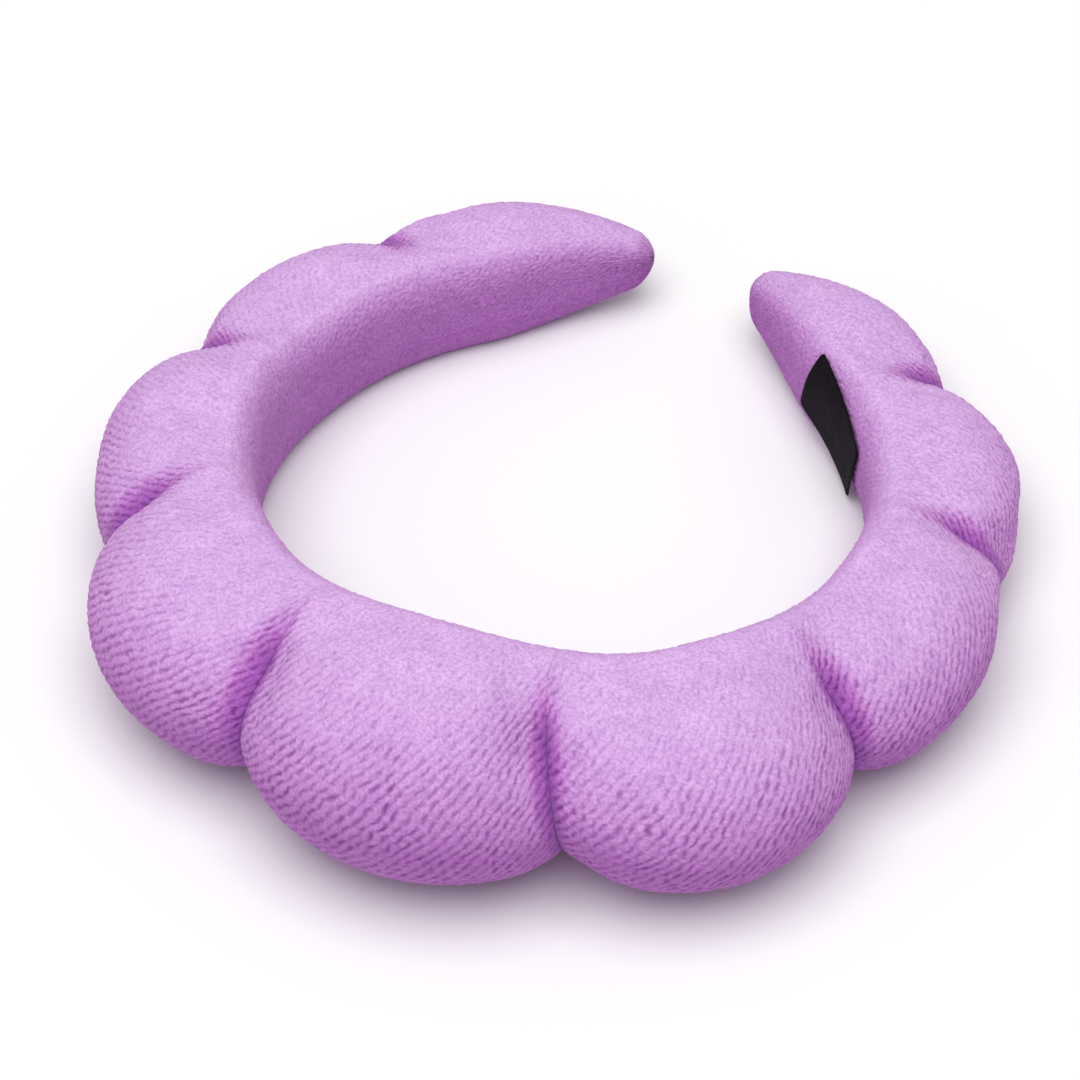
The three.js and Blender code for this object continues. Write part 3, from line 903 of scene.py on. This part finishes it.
def terry_material():
    """Lilac towelling: pale on top, with painted shade deeper where it faces down and in the grooves'
    folds, and painted shade in its slits.
    """
    material, shader = new_material("terry", 0.95, Sheen_Weight=0.2, Sheen_Roughness=0.5)
    shader.inputs["Sheen Tint"].default_value = TERRY_SHEEN
    shader.inputs["Specular IOR Level"].default_value = 0.15
    pile = node(material, "ShaderNodeAttribute", attribute_name="pile").outputs["Fac"]
    painted_shade = node(material, "ShaderNodeAttribute", attribute_name="painted_shade").outputs["Fac"]
    # Painted shade: the terry darkens as it faces down and in the grooves' folds.
    body = ramp(material, painted_shade, [(0.0, TERRY_TOP), (0.45, TERRY_SIDE_SHADE), (0.75, TERRY_UNDERSIDE_SHADE),
                                (1.0, TERRY_FOLD_SHADE)])
    # Painted shade in the slits between rows of loops.
    slits = ramp(material, pile, [(0.25, TERRY_SLIT_SHADE), (0.85, NO_TINT)])
    wide_noise = object_noise(material, PATCH_SCALE)
    patches = ramp(material, wide_noise, [(0.3, TERRY_PATCH), (0.7, NO_TINT)])
    clump_noise = object_noise(material, CLUMP_SCALE, 2.0)
    clumps = ramp(material, clump_noise, [(0.35, TERRY_CLUMP), (0.6, NO_TINT)])
    fibres = object_noise(material, FIBRE_SCALE, 4.0)
    specks = ramp(material, fibres, [(0.38, TERRY_SPECK), (0.6, NO_TINT)])
    colour = body
    for layer in (slits, patches, clumps, specks):
        colour = mixed(material, 1.0, colour, layer, "MULTIPLY")
    link(material, colour, shader.inputs["Base Color"])
    bumped(material, shader, fibres, FIBRE_RELIEF, 0.7)
    return material


def foam_material():
    """Off-white open-cell foam."""
    material, shader = new_material("foam", 0.9)
    place = node(material, "ShaderNodeTexCoord")
    cells = node(material, "ShaderNodeTexVoronoi", Scale=1100.0)
    link(material, place.outputs["Object"], cells.inputs["Vector"])
    walls = cells.outputs["Distance"]
    colour = ramp(material, walls, [(0.0, FOAM_CELL), (0.5, FOAM_WALL)])
    link(material, colour, shader.inputs["Base Color"])
    bumped(material, shader, walls, 0.0004)
    return material


def strip_material():
    """Milky polypropylene with fine rolling marks."""
    material, shader = new_material("spring_strip", 0.45, Transmission_Weight=0.1)
    marks = object_noise(material, 400)
    colour = ramp(material, marks, [(0.3, STRIP_DULL), (0.7, STRIP_BRIGHT)])
    link(material, colour, shader.inputs["Base Color"])
    varied_roughness(material, shader, marks, 0.35, 0.6)
    bumped(material, shader, marks, 0.00005)
    return material


def thread_material():
    """Purple polyester sewing thread with fine filaments."""
    material, shader = new_material("thread", 0.6, Sheen_Weight=0.2)
    filaments = object_noise(material, 4000)
    colour = ramp(material, filaments, [(0.3, THREAD_DARK), (0.7, THREAD_PALE)])
    link(material, colour, shader.inputs["Base Color"])
    bumped(material, shader, filaments, 0.00008)
    return material


def label_material():
    """Black satin ribbon: fine crosswise weave, a dull gloss that varies a little."""
    material, shader = new_material("label", 0.7)
    shader.inputs["Specular IOR Level"].default_value = 0.05
    place = node(material, "ShaderNodeTexCoord")
    weave = node(material, "ShaderNodeTexWave", Scale=700.0, Distortion=1.5)
    weave.bands_direction = "Z"
    link(material, place.outputs["Object"], weave.inputs["Vector"])
    threads = weave.outputs["Fac"]
    colour = ramp(material, threads, [(0.0, LABEL_DARK), (1.0, LABEL_PALE)])
    link(material, colour, shader.inputs["Base Color"])
    varied_roughness(material, shader, object_noise(material, 300), 0.55, 0.8)
    bumped(material, shader, threads, 0.00008)
    return material


def floor_material():
    material, shader = new_material("floor", 0.85)
    shader.inputs["Base Color"].default_value = FLOOR_COLOUR
    return material


def paint(piece, material):
    piece.data.materials.clear()
    piece.data.materials.append(material)


# ---- Assembly ----

def bend_with(piece, lobe):
    """The crown's soft piece rides the crown's body; any other lobe's piece has its place baked into
    its points.
    """
    if lobe == CROWN:
        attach(piece, LOBES[CROWN])
        return
    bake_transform(piece)


def build_band():
    """Every soft piece, painted and standing in for its CAD solid, which is hidden; the crown's pieces
    ride the crown.
    """
    moves = swollen_cover()
    terry = terry_material()
    foam = foam_material()
    for lobe, name in enumerate(LOBES):
        cover = cover_piece(lobe, moves[lobe])
        paint(cover, terry)
        bend_with(cover, lobe)
        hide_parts("cover_" + name)
        puff = foam_piece(lobe, moves[lobe])
        paint(puff, foam)
        bend_with(puff, lobe)
        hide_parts("puff_" + name)


def build_stitches():
    thread = thread_material()
    for groove in range(LAST):
        stitches = stitch_piece(groove)
        paint(stitches, thread)
        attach(stitches, parent_of(groove))
        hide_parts("pinch_thread_" + child_of(groove))


def build_label():
    label = label_piece()
    paint(label, label_material())
    bend_with(label, LAST)
    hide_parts("care_label")


def finish_strips():
    """The spring hoop's segments stay as the CAD has them, in milky plastic."""
    strip = strip_material()
    for name in LOBES:
        paint(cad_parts["hoop_" + name], strip)


# ---- Camera, light and floor ----

def aimed(thing, place, target):
    """Puts a camera or light at a place, pointing at a target."""
    thing.location = place
    thing.rotation_euler = (Vector(target) - Vector(place)).to_track_quat("-Z", "Y").to_euler()


def add_camera():
    azimuth = math.radians(VIEW_AZIMUTH)
    elevation = math.radians(VIEW_ELEVATION)
    back = Vector((math.sin(azimuth) * math.cos(elevation),
                   -math.cos(azimuth) * math.cos(elevation), math.sin(elevation)))
    data = bpy.data.cameras.new("camera")
    data.lens = VIEW_LENS
    camera = bpy.data.objects.new("camera", data)
    bpy.context.scene.collection.objects.link(camera)
    aimed(camera, Vector(VIEW_TARGET) + back * VIEW_DISTANCE, VIEW_TARGET)
    bpy.context.scene.camera = camera


def add_light(name, place, size, power, colour):
    data = bpy.data.lights.new(name, "AREA")
    data.shape = "DISK"
    data.size = size
    data.energy = power
    data.color = colour
    light = bpy.data.objects.new(name, data)
    bpy.context.scene.collection.objects.link(light)
    aimed(light, place, LIGHT_TARGET)


def add_studio():
    """A large soft light overhead, a weaker one from the front, an even surround, and a floor."""
    add_light("overhead", OVERHEAD_PLACE, OVERHEAD_SIZE, OVERHEAD_POWER, OVERHEAD_TINT)
    add_light("front", FRONT_PLACE, FRONT_SIZE, FRONT_POWER, FRONT_TINT)
    world = bpy.data.worlds.new("surround")
    bpy.context.scene.world = world
    world.use_nodes = True
    background = world.node_tree.nodes["Background"]
    background.inputs["Color"].default_value = (1, 1, 1, 1)
    background.inputs["Strength"].default_value = SURROUND
    corners = np.array([[-1, -1, 0], [1, -1, 0], [1, 1, 0], [-1, 1, 0]]) * FLOOR_REACH
    floor = make_mesh("floor", corners, [[0, 1, 2, 3]])
    floor.location.z = -FLOOR_DROP
    paint(floor, floor_material())
    bpy.context.scene.view_settings.view_transform = "Standard"


add_camera()
add_studio()
build_band()
build_stitches()
build_label()
finish_strips()
